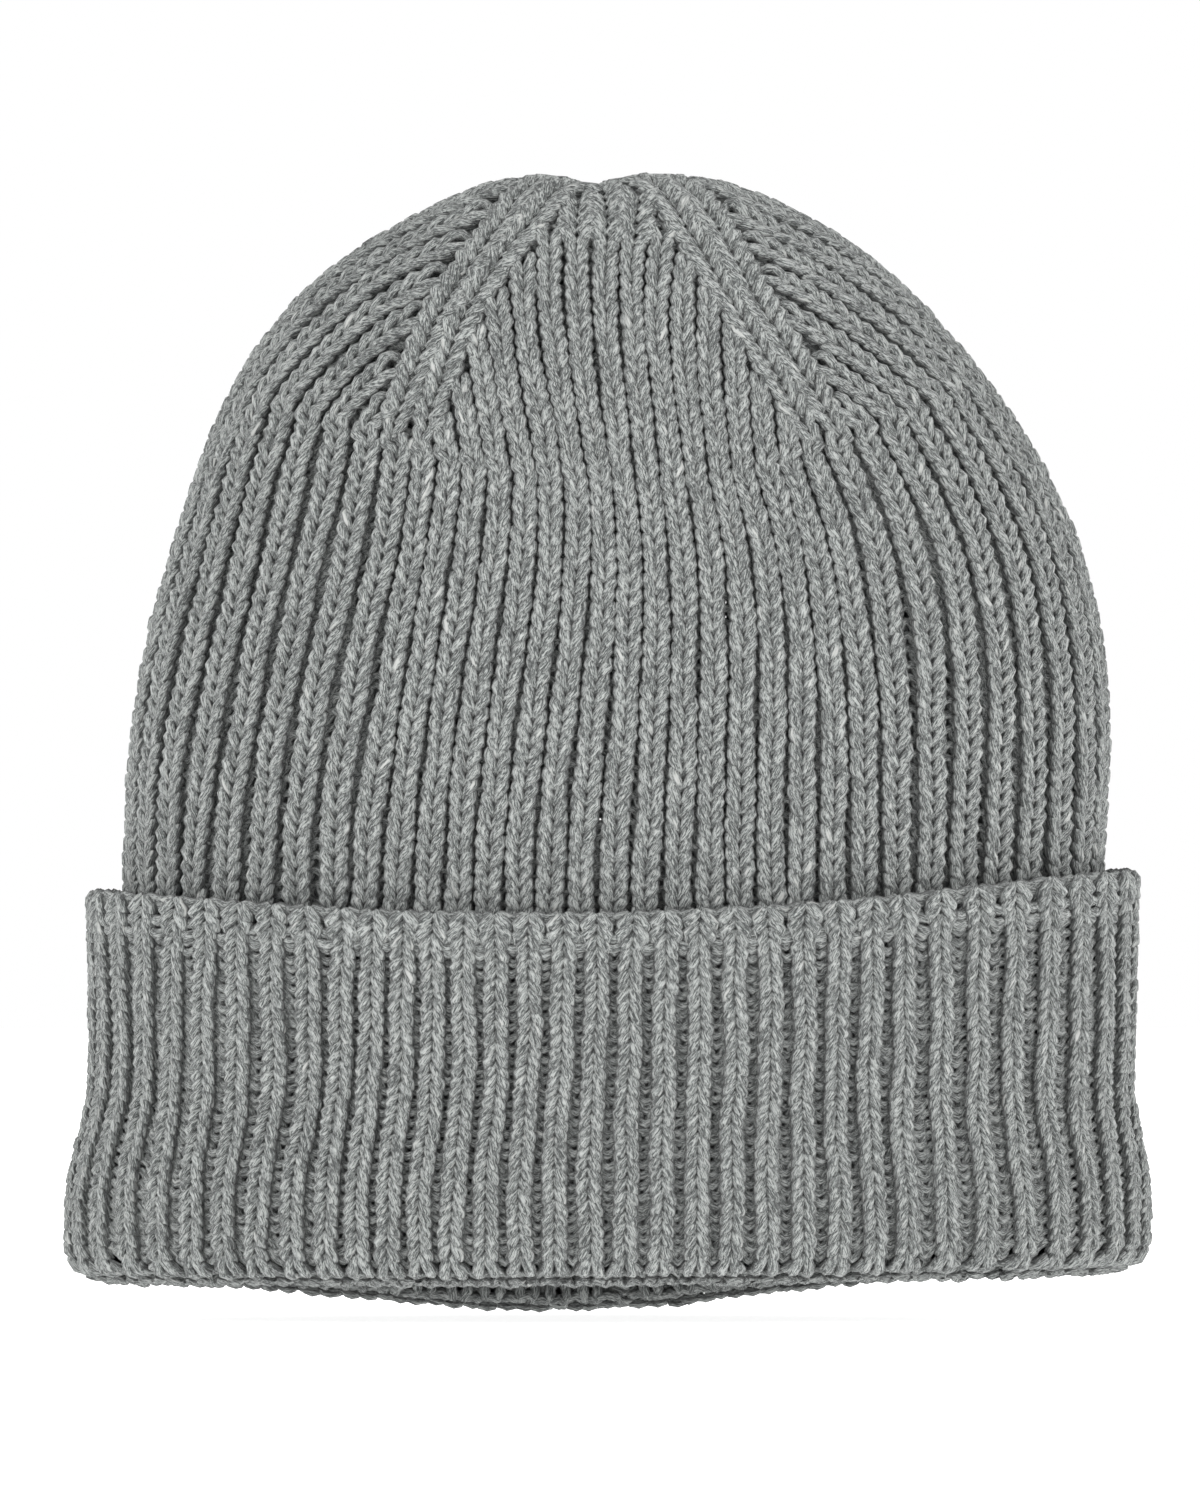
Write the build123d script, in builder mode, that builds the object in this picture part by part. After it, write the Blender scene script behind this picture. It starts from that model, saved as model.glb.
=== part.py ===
from build123d import *
from math import pi, radians, sin, tan
import os

# Knit beanie in 1x1 rib with a turned-up cuff and a four-gore crown, standing on its hem.
#
# Frame: millimetres, +Z up, origin at the middle of the hem's resting face, +X along the
# beanie's wide direction, -Y towards its front. The centre back seam is on the +Y side.

# ---- driving dimensions ----
total_height = 225.5          # hem to apex
body_half_width = 97.6        # body fabric, outer face, just above the cuff
body_half_depth = 47.6
body_thickness = 5.5          # one layer of relaxed rib
dome_base = 100.0             # below this height the body's walls are straight
crown_start = 172.0           # first decrease course
width_power = 2.1             # how late the dome curves in ...
width_root = 2.2              # ... and how blunt it ends, seen from the front
depth_root = 3.0              # blunter from the side, so the apex is nearly round
dome_reach = 0.965            # share of the dome's curve that is lofted; a level tip ends it

cuff_top = 84.0               # free cast-on edge of the turned-up cuff
cuff_half_width = 104.0       # cuff's outer face
cuff_half_depth = 54.0
cuff_flare = 3.4              # the cuff bells out where it turns under
flare_height = 31.0           # the flare has run out this far above the roll
slide_gap = 0.4               # clearance between the cuff's layer and the body's layer
start_edge_height = 6.0       # tubular cast-on edge
edge_round = 2.4

fold_height = 7.0             # depth of the rolled turn at the hem
fold_rest_inset = 3.9         # roll's outer face to its resting face
# the roll's rounded outside: share of its height, distance in from its outer face
fold_curve = [(0, fold_rest_inset), (0.3, 1.2), (0.7, 0.2), (1, 0)]
# the cuff's flare: height above the roll, share of the flare
flare_curve = [(0, 1), (7, 0.97), (17, 0.6), (flare_height, 0)]
seam_width = 2.0              # linked column at the centre back
seam_x = 3.3                  # the seam lies in the groove beside the back's middle rib
gore_angle = 43.0             # decrease lines, seen from above, from the X axis
tie_half_width = 6.5          # gathered closure at the apex
tie_half_depth = 5.2
tie_round = 2.2
parting_gap = 0.3             # body's lower edge stands just clear of the hem roll

dome_height = total_height - dome_base
cuff_inner_half_width = body_half_width + slide_gap
cuff_inner_half_depth = body_half_depth + slide_gap
flared_half_width = cuff_half_width + cuff_flare
flared_half_depth = cuff_half_depth + cuff_flare
body_bottom = fold_height + parting_gap
edge_bottom = cuff_top - start_edge_height

os.makedirs("parts", exist_ok=True)


def dome_sections(inset, count=10):
    """Heights and half sizes of the dome's level sections, from its base to its blunt tip."""
    sections = []
    for step in range(count):
        rise = sin(pi / 2 * dome_reach * step / (count - 1))
        fullness = 1 - rise**width_power
        half_width = (body_half_width - inset) * fullness ** (1 / width_root)
        half_depth = (body_half_depth - inset) * fullness ** (1 / depth_root)
        sections.append((dome_base + (dome_height - inset) * rise, half_width, half_depth))
    return sections


def stack(sections, mode=Mode.ADD):
    """Loft one smooth elliptical skin through level sections, inside the open part."""
    faces = []
    for height, half_width, half_depth in sections:
        with BuildSketch(Plane.XY.offset(height)) as section:
            Ellipse(half_width, half_depth)
        faces.append(section.sketch.face())
    loft(faces, mode=mode)


def oval_prism(bottom, top, half_width, half_depth, mode=Mode.ADD):
    """A straight oval block between two heights, inside the open part."""
    with BuildSketch(Plane.XY.offset(bottom)) as section:
        Ellipse(half_width, half_depth)
    extrude(section.sketch, amount=top - bottom, mode=mode)


def body_shell():
    """The whole body layer: straight walls, dome, and the hole that the tie fills."""
    oval_prism(body_bottom, dome_base, body_half_width, body_half_depth)
    stack(dome_sections(0))
    oval_prism(
        body_bottom,
        dome_base,
        body_half_width - body_thickness,
        body_half_depth - body_thickness,
        mode=Mode.SUBTRACT,
    )
    stack(dome_sections(body_thickness), mode=Mode.SUBTRACT)
    oval_prism(dome_base, total_height, tie_half_width, tie_half_depth, mode=Mode.SUBTRACT)


def seam_slab(bottom, top, mode):
    """The centre back seam's column, as a slab from the middle to past the back."""
    with BuildSketch(Plane.XY.offset(bottom)) as column:
        with Locations((seam_x, 0)):
            Rectangle(seam_width, 2 * body_half_depth, align=(Align.CENTER, Align.MIN))
    extrude(column.sketch, amount=top - bottom, mode=mode)


def finish(part, label):
    """Label a piece, write its STEP and print its size."""
    part.label = label
    export_step(part, f"parts/{label}.step")
    size = part.bounding_box().size
    print(f"{label}: {size.X:.1f} x {size.Y:.1f} x {size.Z:.1f} mm, {part.volume / 1000:.1f} cm3")


# ---- cuff: the turned-up lower part of the beanie ----

# The hem roll, where the fabric turns back up. Its flat ring is what the beanie stands on.
with BuildPart() as turned_fold:
    stack(
        [
            (share * fold_height, flared_half_width - inset, flared_half_depth - inset)
            for share, inset in fold_curve
        ]
    )
    oval_prism(
        0,
        fold_height,
        body_half_width - body_thickness,
        body_half_depth - body_thickness,
        mode=Mode.SUBTRACT,
    )
    hem_inner_edge = turned_fold.edges().group_by(Axis.Z)[0].sort_by(SortBy.LENGTH)[0]
    fillet(hem_inner_edge, edge_round)
finish(turned_fold.part, "turned_fold")

# The cuff's outer layer, one rib panel closed by the seam.
with BuildPart() as cuff_panel:
    stack(
        [
            (fold_height + rise, cuff_half_width + share * cuff_flare, cuff_half_depth + share * cuff_flare)
            for rise, share in flare_curve
        ]
    )
    oval_prism(fold_height + flare_height, edge_bottom, cuff_half_width, cuff_half_depth)
    oval_prism(
        fold_height,
        edge_bottom,
        cuff_inner_half_width,
        cuff_inner_half_depth,
        mode=Mode.SUBTRACT,
    )
    seam_slab(fold_height, edge_bottom, Mode.SUBTRACT)
finish(cuff_panel.part, "cuff_panel")

# The tubular cast-on edge that ends the cuff, soft and round.
with BuildPart() as cuff_start_edge:
    oval_prism(edge_bottom, cuff_top, cuff_half_width, cuff_half_depth)
    oval_prism(
        edge_bottom,
        cuff_top,
        cuff_inner_half_width,
        cuff_inner_half_depth,
        mode=Mode.SUBTRACT,
    )
    fillet(cuff_start_edge.edges().group_by(Axis.Z)[-1], edge_round)
finish(cuff_start_edge.part, "cuff_start_edge")

# The linking that closes the cuff's panel at the centre back.
with BuildPart() as cuff_seam:
    oval_prism(fold_height, edge_bottom, cuff_half_width, cuff_half_depth)
    oval_prism(
        fold_height,
        edge_bottom,
        cuff_inner_half_width,
        cuff_inner_half_depth,
        mode=Mode.SUBTRACT,
    )
    seam_slab(fold_height, edge_bottom, Mode.INTERSECT)
finish(cuff_seam.part, "cuff_seam")

# ---- body and crown: the layer that the head touches ----

# The body's rib panel, from the hem roll behind the cuff to the first decreases.
with BuildPart() as body_panel:
    body_shell()
    oval_prism(crown_start, total_height, 2 * body_half_width, 2 * body_half_depth, Mode.SUBTRACT)
    seam_slab(body_bottom, crown_start, Mode.SUBTRACT)
finish(body_panel.part, "body_panel")

# The crown's gores, which meet along the decrease lines. The back gore is in two halves,
# because the seam runs up its middle.
gore_slope = tan(radians(gore_angle))
reach = 2 * body_half_width
spread = reach * gore_slope
seam_left = seam_x - seam_width / 2
seam_right = seam_x + seam_width / 2
gore_outlines = {
    "crown_front": [(0, 0), (-reach, -spread), (reach, -spread)],
    "crown_right": [(0, 0), (reach, -spread), (reach, spread)],
    "crown_left": [(0, 0), (-reach, spread), (-reach, -spread)],
    "crown_back_left": [(0, 0), (seam_left, seam_left * gore_slope), (seam_left, spread), (-reach, spread)],
    "crown_back_right": [(seam_right, seam_right * gore_slope), (reach, spread), (seam_right, spread)],
}
for gore_name, outline in gore_outlines.items():
    with BuildPart() as gore:
        body_shell()
        with BuildSketch(Plane.XY.offset(crown_start)):
            Polygon(*outline, align=None)
        extrude(amount=total_height - crown_start, mode=Mode.INTERSECT)
    finish(gore.part, gore_name)

# The linking that closes the body's panel, up the centre back to the apex.
with BuildPart() as body_seam:
    body_shell()
    seam_slab(body_bottom, total_height, Mode.INTERSECT)
finish(body_seam.part, "body_seam")

# The yarn drawn through the last loops and pulled tight, which closes the apex.
with BuildPart() as crown_tie:
    oval_prism(total_height - body_thickness, total_height, tie_half_width, tie_half_depth)
    fillet(crown_tie.edges().group_by(Axis.Z)[-1], tie_round)
finish(crown_tie.part, "crown_tie")
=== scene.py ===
import math

import bmesh
import bpy
import numpy as np
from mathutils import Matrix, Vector


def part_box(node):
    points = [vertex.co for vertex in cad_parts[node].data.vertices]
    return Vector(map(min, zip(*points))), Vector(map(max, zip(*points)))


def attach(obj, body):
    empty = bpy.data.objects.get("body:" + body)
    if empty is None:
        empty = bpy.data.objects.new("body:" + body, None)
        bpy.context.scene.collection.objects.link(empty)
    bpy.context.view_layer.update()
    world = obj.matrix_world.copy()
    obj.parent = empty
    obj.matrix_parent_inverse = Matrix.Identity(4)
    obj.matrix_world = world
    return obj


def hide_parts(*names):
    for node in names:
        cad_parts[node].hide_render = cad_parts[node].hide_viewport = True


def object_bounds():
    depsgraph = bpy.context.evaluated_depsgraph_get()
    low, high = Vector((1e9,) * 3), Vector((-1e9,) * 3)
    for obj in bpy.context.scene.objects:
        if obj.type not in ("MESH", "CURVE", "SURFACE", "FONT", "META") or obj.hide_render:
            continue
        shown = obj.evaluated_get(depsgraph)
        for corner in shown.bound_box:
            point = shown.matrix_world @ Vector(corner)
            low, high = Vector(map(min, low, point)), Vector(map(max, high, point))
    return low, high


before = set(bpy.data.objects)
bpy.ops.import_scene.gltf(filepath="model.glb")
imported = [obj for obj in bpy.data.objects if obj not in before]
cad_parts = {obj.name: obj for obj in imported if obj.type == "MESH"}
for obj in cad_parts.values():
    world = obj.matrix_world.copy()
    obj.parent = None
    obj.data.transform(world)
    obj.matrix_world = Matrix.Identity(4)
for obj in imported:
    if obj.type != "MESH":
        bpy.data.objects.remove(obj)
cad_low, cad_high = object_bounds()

# Looks of the knit beanie: every stitch of the rib is a real loop of yarn, laid on the CAD shape.
#
# Lengths are millimetres until a mesh is made; the stage, lights and camera are in metres. The
# fabric is one sheet. Its rows (courses) run round the hat and count up from the hem: below zero
# are the turned-up cuff's rows, whose reverse side shows, and above zero the body's rows, up to
# the apex. The hat has four gores: 0 front, 1 right, 2 back and 3 left. A column of stitches is
# placed in its gore by its rib, counted to the right from the gore's middle as seen from outside.

MM = 0.001
rng = np.random.default_rng(20)


def box_mm(node):
    """Lowest and highest corner of a CAD node, in millimetres."""
    low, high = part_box(node)
    return np.array(low) / MM, np.array(high) / MM


# ---------------------------------------------------------------- sizes from the CAD frame
body_high = box_mm("body_panel")[1]
edge_high = box_mm("cuff_start_edge")[1]
fold_high = box_mm("turned_fold")[1]
tie_high = box_mm("crown_tie")[1]

HAT_TOP = tie_high[2]
BODY_HALF_WIDTH, BODY_HALF_DEPTH, CROWN_START = body_high
CUFF_HALF_WIDTH, _, CUFF_TOP = edge_high
CUFF_FLARE = fold_high[0] - edge_high[0]

# ---------------------------------------------------------------- rows and ribs
RIBS_PER_GORE = 17
HALF_GORE = RIBS_PER_GORE / 2
CUFF_ROWS = 32                # outer layer of the cuff, above the fold
FOLD_ROWS = 4                 # rows that bend round the hem
BODY_ROWS = 85                # from the fold up to the apex
EDGE_ROWS = 2                 # rows of the free edge, knitted as a tube
FIRST_ROW = -FOLD_ROWS - CUFF_ROWS
LAST_ROW = BODY_ROWS - 1      # last row that is knitted, the tie closes it
CROWN_ROW = 57                # first decrease row
LINE_ROWS = 12                # the crown lines have their full shape this many rows further up
HOLD_ROW = 74                 # above it the crown lines run straight to the apex ...
EVEN_SHARE = 0.66             # ... where the four gores are alike
CROWN_GATHER = 1.2            # how fast the crown loses ribs as it narrows
LEAST_REACH = 0.9             # ribs left in half a gore at the apex
SEAM_GORE, SEAM_RIB = 2, -0.5  # the back seam runs up one groove

# ---------------------------------------------------------------- shape of the fabric
BODY_LAYER = 2.75             # half the thickness of one layer
CUFF_LAYER = 2.3
SQUARENESS = 2.15             # 2 is a true oval, more is squarer, as a four-gore crown is

DOME_HEIGHT = 125.5           # the part of the body that curves in
WIDTH_POWER, WIDTH_ROOT, DEPTH_ROOT = 2.1, 2.2, 3.0
TOP_FLATNESS = 1.3            # how far the crown's shoulders stand above the plain dome
STRAIGHT_POINTS, DOME_POINTS = 120, 500

# the crown lines, as the front gore's half width: it narrows from the crown's base to the apex
LINE_REACH, LINE_POWER = 40.7, 0.55
LINE_END, LINE_INSET = 0.9999, 1.02   # it ends just short of the apex, and inside the outline
SHARE_HEIGHTS = (0, 95, CROWN_START)  # below the crown, as a share of the hat's half width
SHARES = (0.555, 0.54, 0.494)

# the hem doesn't lie quite flat: it comes down to the table in the middle of the back
HEM_FRONT, HEM_SIDE, HEM_TILT, HEM_TURN = 6.7, 7.4, 0.9, 1.5
DIP_AT, DIP_WIDTH, DIP_START = -12.0, 60.0, 0.6
EDGE_SAG, EDGE_RISE = 5.2, 7.8        # the cuff's free edge sags at the front and the back
EDGE_LOW_AT, EDGE_BLUNT = 0.15, 0.13

# the fold at the hem, and the cuff's flare above it
FOLD_RADIUS = (CUFF_HALF_WIDTH - CUFF_LAYER - (BODY_HALF_WIDTH - BODY_LAYER)) / 2
FOLD_REST = 2.75              # the bent rows' mean surface above the lowest yarn
FOLD_Z = FOLD_RADIUS + FOLD_REST
FLARE_TOP, FLARE_FADE = 40, 24
FLARE_START, FLARE_GROW = 0.25, 12

# the soft hat leans to the right by these amounts at these heights
LEAN_HEIGHTS = (-10, 26, 58, 82, 148, 202, 226)
LEANS = (-1.2, -1.2, 0.0, 0.1, 3.3, -1.8, -0.8)

# the apex is pulled to one side, and dips where the crown is closed
NOTCH_AT, NOTCH_WIDTH, NOTCH_DEPTH = -4.0, 6.0, 1.7
NOTCH_REACH, NOTCH_TOP = 10, 20
NOTCH_START, NOTCH_GROW = 14, 12

# slow waves in the fabric: size, waves round the hat, drift per row, phase
WAVES = (
    (0.55, 2, 0.05, 0.4), (0.45, 3, -0.07, 2.0), (0.35, 5, 0.11, 4.1),
    (0.25, 8, -0.16, 1.2), (0.16, 13, 0.23, 5.0),
)
WAVE_TURN = 2.2               # turns the waves' direction towards the flatter front and back
CALM_ROWS, CALM_GROW = 3, 12  # no waves in the last rows at the apex
LEFT_PACKED, PACKED_ROWS = 0.12, 25   # the cuff's ribs lie closer on the left of the front

ROW_STEP = 0.25               # rows between the grid's rows
HALF_SAMPLES = 90             # grid columns in each half gore
GRID_COLUMNS = 8 * HALF_SAMPLES
RING_STEPS, COARSE_STEPS = 1440, 144  # once round the hat, before it is divided into gores


def smooth(x):
    """0 to 1 as x goes from 0 to 1, with soft ends."""
    x = np.clip(x, 0, 1)
    return x * x * (3 - 2 * x)


def oval(theta):
    """Unit superellipse point at an angle; theta 0 is +X, -pi/2 the front."""
    c, s = np.cos(theta), np.sin(theta)
    power = 2 / SQUARENESS
    return np.sign(c) * np.abs(c) ** power, np.sign(s) * np.abs(s) ** power


def once_round(steps):
    """Angles from the front's middle round the right, back and left to the front again."""
    return np.linspace(-math.pi / 2, 1.5 * math.pi, steps + 1)


RING = once_round(RING_STEPS)
RING_X, RING_Y = oval(RING)


def hem_height(theta):
    """How far the hem is lifted off the table at an angle: only its back lies on it."""
    front = np.clip(-np.sin(theta), 0, 1) ** HEM_TURN
    lifted = HEM_SIDE + HEM_TILT * np.cos(theta) + (HEM_FRONT - HEM_SIDE) * front
    across = CUFF_HALF_WIDTH * oval(theta)[0] - DIP_AT
    dip = np.exp(-((across / DIP_WIDTH) ** 2)) * smooth(np.sin(theta) / DIP_START)
    return lifted * (1 - dip)


def edge_height(theta):
    """Height of the cuff's free edge: lowest left of the middle, highest at the right."""
    across = np.cos(theta) * (1 - EDGE_BLUNT * np.cos(theta) ** 4)
    return CUFF_TOP - EDGE_SAG + EDGE_RISE * (across + EDGE_LOW_AT) ** 2


def lean(z):
    """How far the soft hat leans to the right at a height, as a smooth curve."""
    heights, leans = np.array(LEAN_HEIGHTS, float), np.array(LEANS)
    k = np.clip(np.searchsorted(heights, z) - 1, 0, len(heights) - 2)
    part = smooth((z - heights[k]) / (heights[k + 1] - heights[k]))
    return leans[k] + (leans[k + 1] - leans[k]) * part


def body_profile():
    """The body's mean surface as heights with half sizes, from the fold to the apex."""
    base = HAT_TOP - DOME_HEIGHT
    straight = np.linspace(0, base, STRAIGHT_POINTS, endpoint=False)
    rise = np.sin(np.linspace(0, math.pi / 2, DOME_POINTS))
    fullness = 1 - rise**WIDTH_POWER
    dome = base + (DOME_HEIGHT - BODY_LAYER) * rise
    drop = (dome[-1] - dome) / 2
    dome = dome + TOP_FLATNESS * drop * np.exp(1 - drop)
    wide = BODY_HALF_WIDTH - BODY_LAYER
    deep = BODY_HALF_DEPTH - BODY_LAYER
    z = np.concatenate([straight, dome])
    a = np.concatenate([np.full(STRAIGHT_POINTS, wide), wide * fullness ** (1 / WIDTH_ROOT)])
    b = np.concatenate([np.full(STRAIGHT_POINTS, deep), deep * fullness ** (1 / DEPTH_ROOT)])
    return z, a, b


PROFILE_Z, PROFILE_A, PROFILE_B = body_profile()


def corner_share(z):
    """How far out the crown line is at a height, as a share of the hat's half width."""
    up = np.clip((z - CROWN_START) / (HAT_TOP - CROWN_START), 0, LINE_END)
    reach = LINE_REACH * (1 - up) ** LINE_POWER
    crown = reach / np.maximum(np.interp(z, PROFILE_Z, PROFILE_A), reach * LINE_INSET)
    below = np.interp(z, SHARE_HEIGHTS, SHARES)
    return np.where(z > CROWN_START, crown, below)


def inner_rows(rows):
    """Points of the body's rows: each spaced evenly along the path from hem to apex."""
    coarse = once_round(COARSE_STEPS)
    cx, cy = oval(coarse)
    hem = hem_height(coarse) + FOLD_Z
    index = np.arange(len(PROFILE_Z))
    start = np.interp(hem, PROFILE_Z, index)
    path = np.zeros((len(coarse), len(PROFILE_Z)))
    dx = np.diff(PROFILE_A)[None] * cx[:, None]
    dy = np.diff(PROFILE_B)[None] * cy[:, None]
    dz = np.diff(PROFILE_Z)[None]
    path[:, 1:] = np.cumsum(np.sqrt(dx**2 + dy**2 + dz**2), axis=1)
    spots = np.zeros((len(rows), len(coarse)))
    for k in range(len(coarse)):
        first = np.interp(start[k], index, path[k])
        reach = first + (path[k, -1] - first) * rows / BODY_ROWS
        spots[:, k] = np.interp(reach, path[k], index)
    points = np.zeros((len(rows), len(RING), 3))
    for r in range(len(rows)):
        spot = np.interp(RING, coarse, spots[r])
        points[r, :, 0] = np.interp(spot, index, PROFILE_A) * RING_X
        points[r, :, 1] = np.interp(spot, index, PROFILE_B) * RING_Y
        points[r, :, 2] = np.interp(spot, index, PROFILE_Z)
    return points


def outer_rows(rows):
    """Points of the fold's and the cuff's rows. Rows count down from 0 at the fold."""
    points = np.zeros((len(rows), len(RING), 3))
    hem = hem_height(RING)
    low = hem + FOLD_Z
    for r, row in enumerate(rows):
        turn = np.clip(-row / FOLD_ROWS, 0, 1) * math.pi
        out = (1 - math.cos(turn)) / 2
        climb = max(0.0, (-row - FOLD_ROWS) / CUFF_ROWS)
        z = low - FOLD_RADIUS * math.sin(turn) + climb * (edge_height(RING) - low)
        flare = smooth((FLARE_TOP - (z - hem)) / FLARE_FADE)
        flare *= CUFF_FLARE * smooth(FLARE_START + (z - hem) / FLARE_GROW)
        gap = 2 * FOLD_RADIUS * out
        points[r, :, 0] = (BODY_HALF_WIDTH - BODY_LAYER + gap + flare * out) * RING_X
        points[r, :, 1] = (BODY_HALF_DEPTH - BODY_LAYER + gap + flare * out) * RING_Y
        points[r, :, 2] = z
    return points


class Fabric:
    """The sheet's mean surface as a grid over rows and eighths of the hat."""

    def __init__(self):
        self.rows = np.arange(FIRST_ROW - 1, BODY_ROWS - 0.5, ROW_STEP)
        below = self.rows < 0
        points = np.concatenate([outer_rows(self.rows[below]), inner_rows(self.rows[~below])])
        self.held_share = None
        divided = [self.divide(ring, row) for ring, row in zip(points, self.rows)]
        self.grid = np.array([grid for grid, _ in divided])
        self.half_arc = np.array([arcs for _, arcs in divided])
        front = self.half_arc[:, 0]
        base = np.interp(CROWN_ROW, self.rows, front)
        gathered = HALF_GORE * (front / base) ** CROWN_GATHER
        self.reach = np.where(self.rows > CROWN_ROW, gathered, HALF_GORE)
        self.reach = np.maximum(np.minimum.accumulate(self.reach), LEAST_REACH)
        self.grid += self.unevenness()
        self.grid[..., 0] += lean(self.grid[..., 2])
        self.pull_apex()
        self.normal = self.normals()

    def divide(self, ring, row):
        """One row's points at equal shares of each half gore, with the half gores' lengths."""
        if row < 0:
            share = SHARES[0]
        else:
            # a first guess, then the height of the row where the line crosses it
            share = corner_share(ring[RING_STEPS // 6, 2])
            back = slice(RING_STEPS // 4, RING_STEPS // 2)
            share = corner_share(np.interp(math.acos(share), RING[back], ring[back, 2]))
            if row > HOLD_ROW:
                level = (row - HOLD_ROW) / (BODY_ROWS - HOLD_ROW)
                share = self.held_share + (EVEN_SHARE - self.held_share) * smooth(level)
            else:
                self.held_share = share
        corner = math.acos(float(share) ** (SQUARENESS / 2))
        marks = np.array([
            -math.pi / 2, -corner, 0, corner, math.pi / 2,
            math.pi - corner, math.pi, math.pi + corner, 1.5 * math.pi,
        ])
        arc = np.concatenate([[0], np.cumsum(np.linalg.norm(np.diff(ring, axis=0), axis=1))])
        at = np.interp(marks, RING, arc)
        shares = np.arange(GRID_COLUMNS + 1) / HALF_SAMPLES
        reach = np.interp(shares, np.arange(9), at)
        grid = np.stack([np.interp(reach, arc, ring[:, k]) for k in range(3)], axis=1)
        return grid, np.diff(at)

    def unevenness(self):
        """Small, slow waves that keep the soft shape from looking turned on a lathe."""
        # the cuff's rows have the same waves as the body's rows behind them
        rows = np.abs(self.rows[:, None] + FOLD_ROWS / 2)
        turn = np.linspace(0, 2 * math.pi, GRID_COLUMNS + 1)[None]
        wave = np.zeros((len(self.rows), GRID_COLUMNS + 1))
        for size, waves, drift, phase in WAVES:
            wave += size * np.sin(waves * turn + drift * rows + phase)
        calm = smooth((BODY_ROWS - CALM_ROWS - rows) / CALM_GROW)
        x, y, z = self.grid[..., 0], self.grid[..., 1], self.grid[..., 2]
        out = np.stack([x, y * WAVE_TURN, 0 * z], axis=2)
        out /= np.maximum(np.linalg.norm(out, axis=2, keepdims=True), 1e-6)
        return out * (wave * calm)[..., None]

    def pull_apex(self):
        """Shift the apex a little to the left, and sink it."""
        x, y, z = self.grid[..., 0], self.grid[..., 1], self.grid[..., 2]
        near = np.exp(-((np.hypot(x, y) / NOTCH_REACH) ** 2))
        x += NOTCH_AT * near * (z > HAT_TOP - NOTCH_TOP)
        notch = (x - NOTCH_AT) / NOTCH_WIDTH
        top = smooth((z - HAT_TOP + NOTCH_START) / NOTCH_GROW)
        z -= NOTCH_DEPTH * top * np.exp(-(notch**2))

    def normals(self):
        """The sheet's normals, which point out of the body and in from the cuff."""
        ring = self.grid[:, :-1]
        around = np.roll(ring, -1, axis=1) - np.roll(ring, 1, axis=1)
        around = np.concatenate([around, around[:, :1]], axis=1)
        normal = np.cross(around, np.gradient(self.grid, axis=0))
        return normal / np.linalg.norm(normal, axis=2, keepdims=True)

    def gore_reach(self, row):
        """Ribs in half a gore at a row."""
        return np.interp(row, self.rows, self.reach)

    def pitch(self, row, gore):
        """Distance between ribs at a row in a gore."""
        arcs = self.half_arc[:, gore % 2]
        return np.interp(row, self.rows, arcs) / self.gore_reach(row)

    def place(self, row, gore, rib):
        """Points on the fabric at rows and ribs of gores, with their normals."""
        eighth = np.mod(2 * gore + rib / self.gore_reach(row), 8)
        left = np.sin(math.pi * np.clip(eighth - 4, 0, 4) / 4) ** 2
        eighth = eighth + LEFT_PACKED * left * smooth(1 - row / PACKED_ROWS)
        # both stop just inside the grid's last cell
        r = np.clip((row - self.rows[0]) / ROW_STEP, 0, len(self.rows) - 1.001)
        c = np.clip(eighth * HALF_SAMPLES, 0, GRID_COLUMNS - 0.001)
        r0, c0 = r.astype(int), c.astype(int)
        fr, fc = (r - r0)[..., None], (c - c0)[..., None]

        def blend(table):
            near = table[r0, c0] * (1 - fc) + table[r0, c0 + 1] * fc
            far = table[r0 + 1, c0] * (1 - fc) + table[r0 + 1, c0 + 1] * fc
            return near * (1 - fr) + far * fr

        normal = blend(self.normal)
        normal /= np.linalg.norm(normal, axis=-1, keepdims=True)
        return blend(self.grid), normal


fabric = Fabric()

# ---------------------------------------------------------------- columns of stitches
KNIT, PURL = 1.0, -1.0
LINE_AWAY, LINE_CLOSER = 0.5, 0.13    # the plump wales along a crown line, in ribs from the line
LINE_NEEDS = 0.2              # they end where half a gore has less room than this
RIB_ENDS_AT = 0.62            # a rib ends this close to one of them
RIDGE_ROWS = (-3, -2)         # rows with every stitch alike, the ridge along the hem
GATHER_ROW = 74               # the last rows are knitted plain, with no grooves
PURL_FITS = 0.9               # a purl column fits between knit ones more ribs apart than this,
PURL_ROOM = 6.4               # or more millimetres than this


def into_crown(row):
    """0 up to the first decrease row, 1 where the crown lines have their full shape."""
    return float(smooth((row - CROWN_ROW) / LINE_ROWS))


def gore_columns(row):
    """Knit columns across a gore at a row, left to right, as (offset, follow).

    A column's rib is offset + follow * the gore's reach, so a follow of 0 is a plain rib and
    a follow of 1 or -1 runs along the crown line.
    """
    ribs = [(float(i), 0.0) for i in range(1, int(HALF_GORE) + 1)]
    if row < CROWN_ROW:
        half = ribs
        middle = [(0.0, 0.0)]
    else:
        reach = float(fabric.gore_reach(row))
        away = LINE_AWAY - LINE_CLOSER * into_crown(row)
        limit = reach - away - RIB_ENDS_AT
        half = [rib for rib in ribs if rib[0] <= limit]
        if reach - away > LINE_NEEDS:
            half.append((-away, 1.0))
        middle = [(0.0, 0.0)] if limit >= 0 or not half else []
    return [(-offset, -follow) for offset, follow in reversed(half)] + middle + half


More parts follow.
